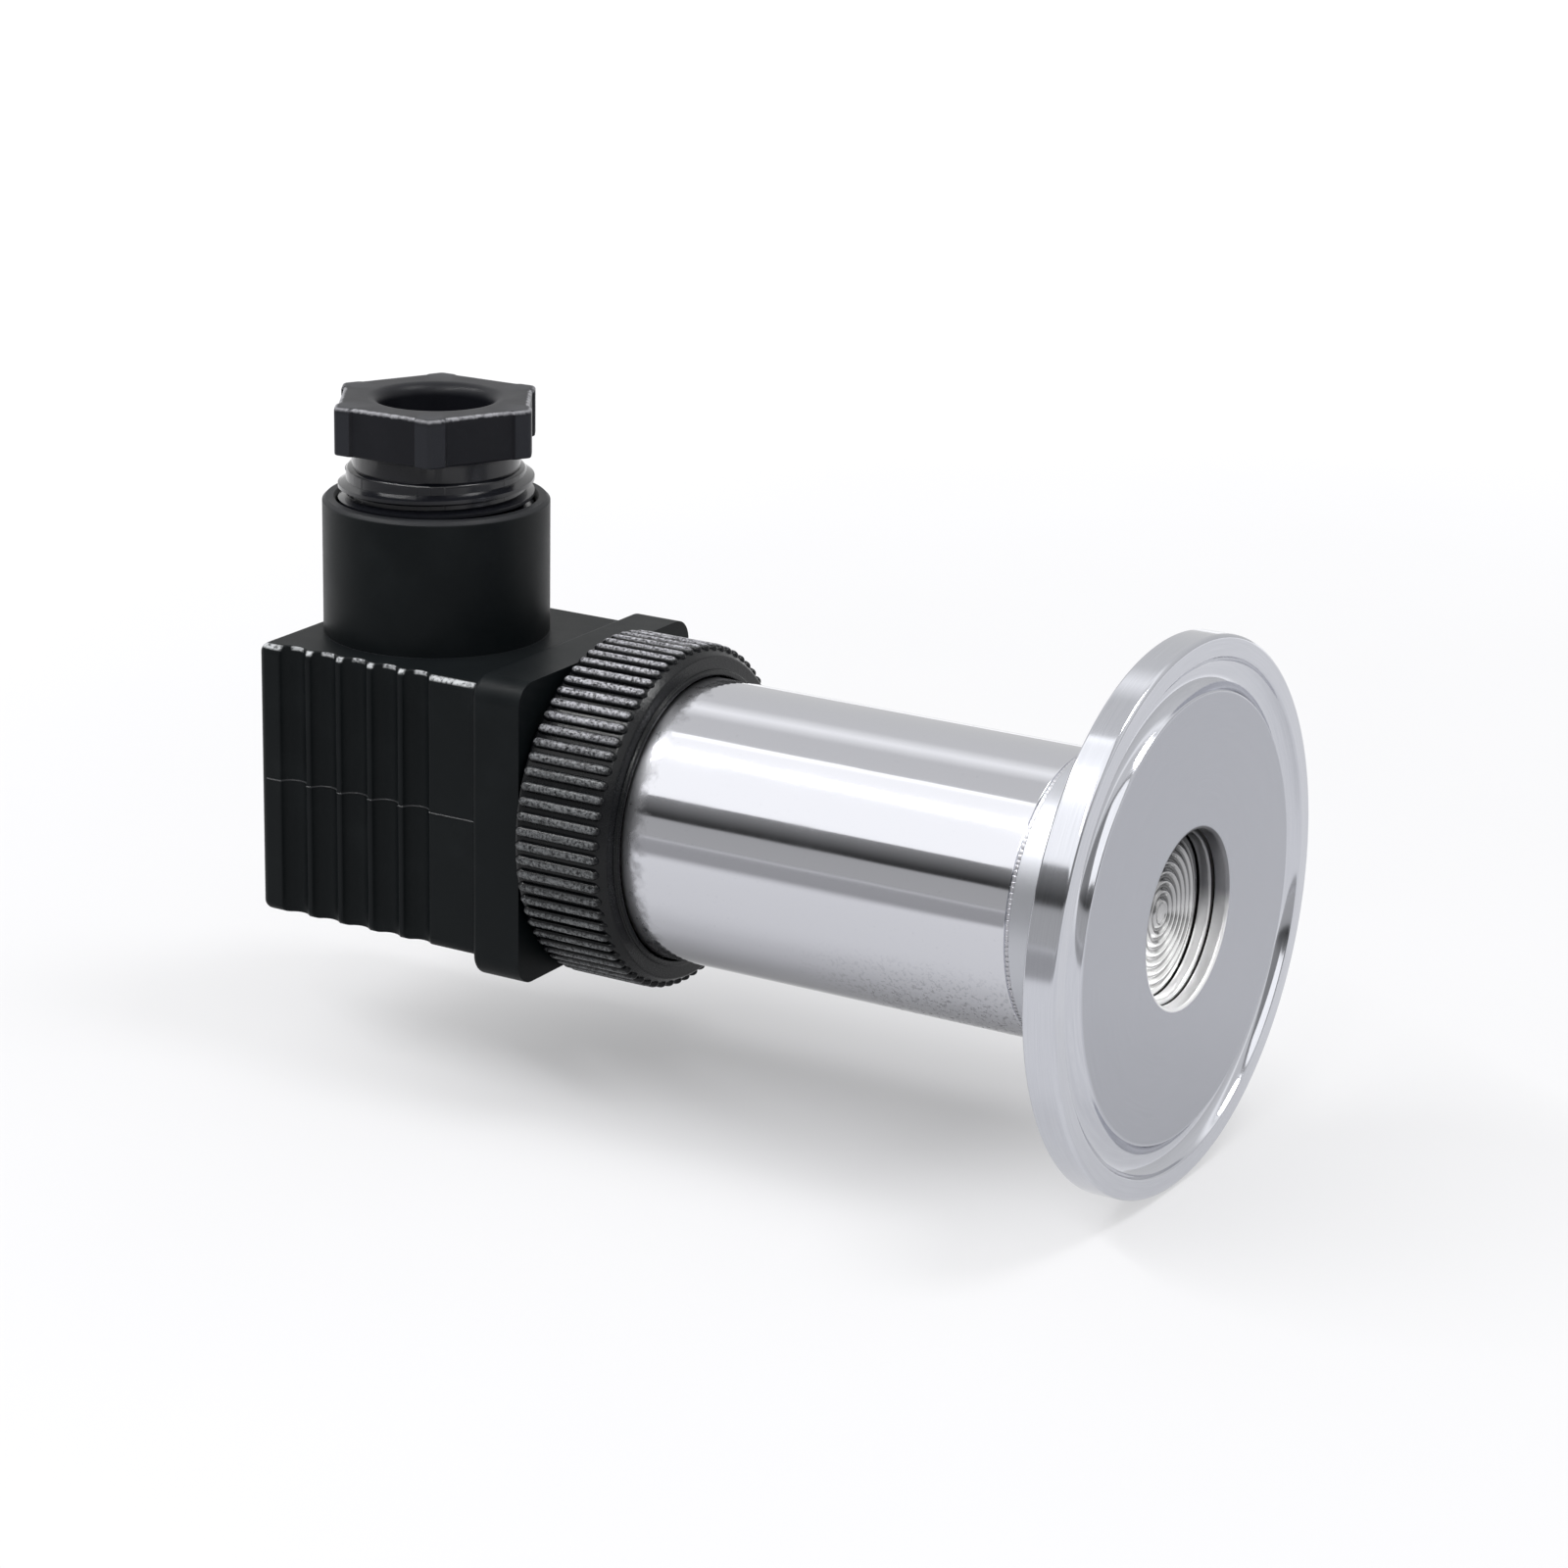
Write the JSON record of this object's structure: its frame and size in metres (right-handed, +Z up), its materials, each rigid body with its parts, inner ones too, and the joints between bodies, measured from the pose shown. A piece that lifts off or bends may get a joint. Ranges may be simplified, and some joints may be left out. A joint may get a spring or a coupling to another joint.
{
  "type": "pressure transmitter",
  "caption": "Tubular pressure transmitter with a flush diaphragm in a clamp ferrule at one end and a right-angle plug with a cable gland at the other.",
  "frame": {"origin": "centre of the clamp ferrule's sealing face", "axes": "+X along the tube and out of the process end, +Z up along the cable gland"},
  "size_m": [0.0909, 0.0504, 0.0614],
  "materials": {
    "satin_steel": "satin turned stainless steel",
    "polished_steel": "mirror polished stainless steel",
    "foil_steel": "thin corrugated stainless foil",
    "black_ring_plastic": "black moulded plastic, slight sheen",
    "black_plug_plastic": "black glass filled plastic, fine satin grain",
    "black_nut_plastic": "black moulded plastic with worn edges",
    "black_rubber": "black nitrile rubber",
    "grey_rubber": "grey silicone rubber",
    "brass_parts": "turned brass",
    "gold_pins": "gold plated wire",
    "tinned_copper": "tinned flat contact",
    "zinc_screws": "zinc plated steel",
    "board_green": "green solder resist",
    "chip_black": "black epoxy packages",
    "die_silicon": "grey silicon",
    "lead_red": "red wire insulation",
    "base_plastic": "black moulded plastic",
    "white_washer": "white low friction plastic"
  },
  "bodies": {
    "transmitter": {"ferrule": "satin_steel", "housing_tube": "polished_steel", "weld_ring": "satin_steel", "diaphragm": "foil_steel", "sensor_capsule": "satin_steel", "capsule_header": "satin_steel", "header_pins": "gold_pins", "sensing_die": "die_silicon", "capsule_o_ring": "black_rubber", "retaining_ring": "satin_steel", "circuit_board": "board_green", "board_components": "chip_black", "sensor_leads": "lead_red", "connector_leads": "lead_red", "connector_base": "base_plastic", "base_o_ring": "black_rubber", "thread_insert": "brass_parts", "contact_blades": "tinned_copper", "earth_blade": "tinned_copper", "flat_gasket": "grey_rubber"},
    "ring_washer": {"slip_washer": "white_washer"},
    "union_ring": {"knurled_ring": "black_ring_plastic"},
    "plug": {"plug_housing": "black_plug_plastic", "terminal_block": "base_plastic", "contact_sockets": "brass_parts", "terminal_screws": "zinc_screws", "gland_grommet": "black_rubber"},
    "nut_washer": {"gland_washer": "white_washer"},
    "nut": {"gland_nut": "black_nut_plastic"},
    "screw_follower": {"screw_washer": "black_rubber"},
    "screw": {"centre_screw": "zinc_screws"}
  },
  "joints": [
    {"name": "ring_travel", "type": "slide", "parent": "transmitter", "child": "ring_washer", "axis": [1, 0, 0], "range_m": [0, 0.006]},
    {"name": "ring_turn", "type": "hinge", "parent": "ring_washer", "child": "union_ring", "pos_m": [-0.0555, 0, 0], "axis": [1, 0, 0], "range_deg": [0, 1441]},
    {"name": "plug_pull", "type": "slide", "parent": "transmitter", "child": "plug", "axis": [-1, 0, 0], "range_m": [0, 0.01]},
    {"name": "nut_travel", "type": "slide", "parent": "plug", "child": "nut_washer", "axis": [0, 0, 1], "range_m": [-0.00212, 0.00423]},
    {"name": "nut_turn", "type": "hinge", "parent": "nut_washer", "child": "nut", "pos_m": [-0.0801, 0, 0.03], "axis": [0, 0, 1], "range_deg": [-541, 1081]},
    {"name": "screw_travel", "type": "slide", "parent": "plug", "child": "screw_follower", "axis": [-1, 0, 0], "range_m": [0, 0.0055]},
    {"name": "screw_turn", "type": "hinge", "parent": "screw_follower", "child": "screw", "pos_m": [-0.075, 0, 0], "axis": [-1, 0, 0], "range_deg": [0, 3962]}
  ],
  "couplings": [
    {"joint": "ring_turn", "follows": "ring_travel", "rad_per_m": 4188.8},
    {"joint": "nut_turn", "follows": "nut_travel", "rad_per_m": 4456.2},
    {"joint": "screw_turn", "follows": "screw_travel", "rad_per_m": 12566}
  ]
}
